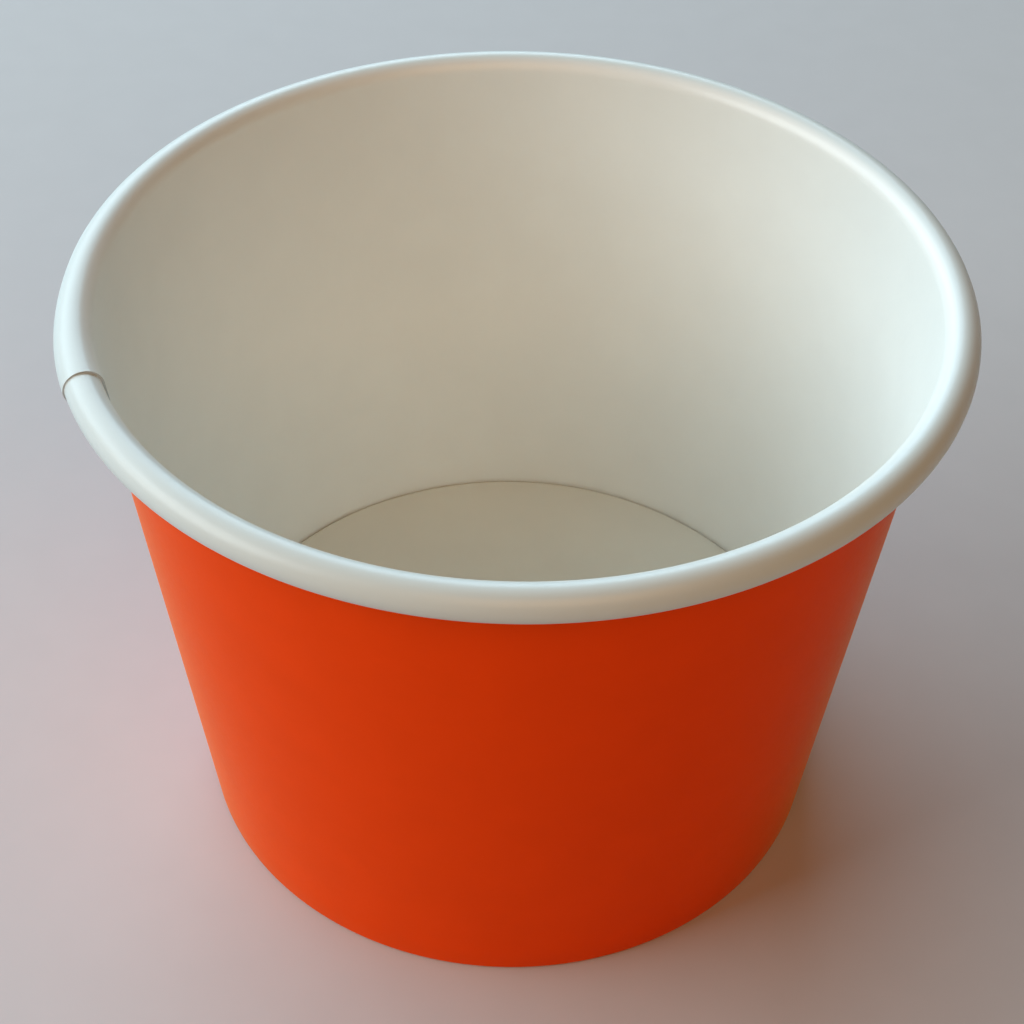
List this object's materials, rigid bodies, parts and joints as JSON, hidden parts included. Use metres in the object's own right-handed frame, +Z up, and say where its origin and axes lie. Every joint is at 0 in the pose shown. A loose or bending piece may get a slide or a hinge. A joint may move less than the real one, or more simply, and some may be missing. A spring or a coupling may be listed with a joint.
{
  "type": "paper food tub",
  "caption": "Round tapered paper food tub with a rolled white rim, a lapped side seam, an orange printed outside, a white inside and a recessed floor disc.",
  "frame": {"origin": "on the table plane, on the axis of the tub", "axes": "+Z up along the axis of the tub; the picture is taken from the -Y side, with +X to its right"},
  "size_m": [0.0983, 0.0982, 0.0718],
  "materials": {
    "printed_board": "orange ink under a thin semi-matte coating outside, bare white coated board inside",
    "bare_board": "uncoloured coated board, matte"
  },
  "bodies": {
    "root": {"sidewall": "printed_board", "bottom_disc": "bare_board"}
  },
  "joints": []
}
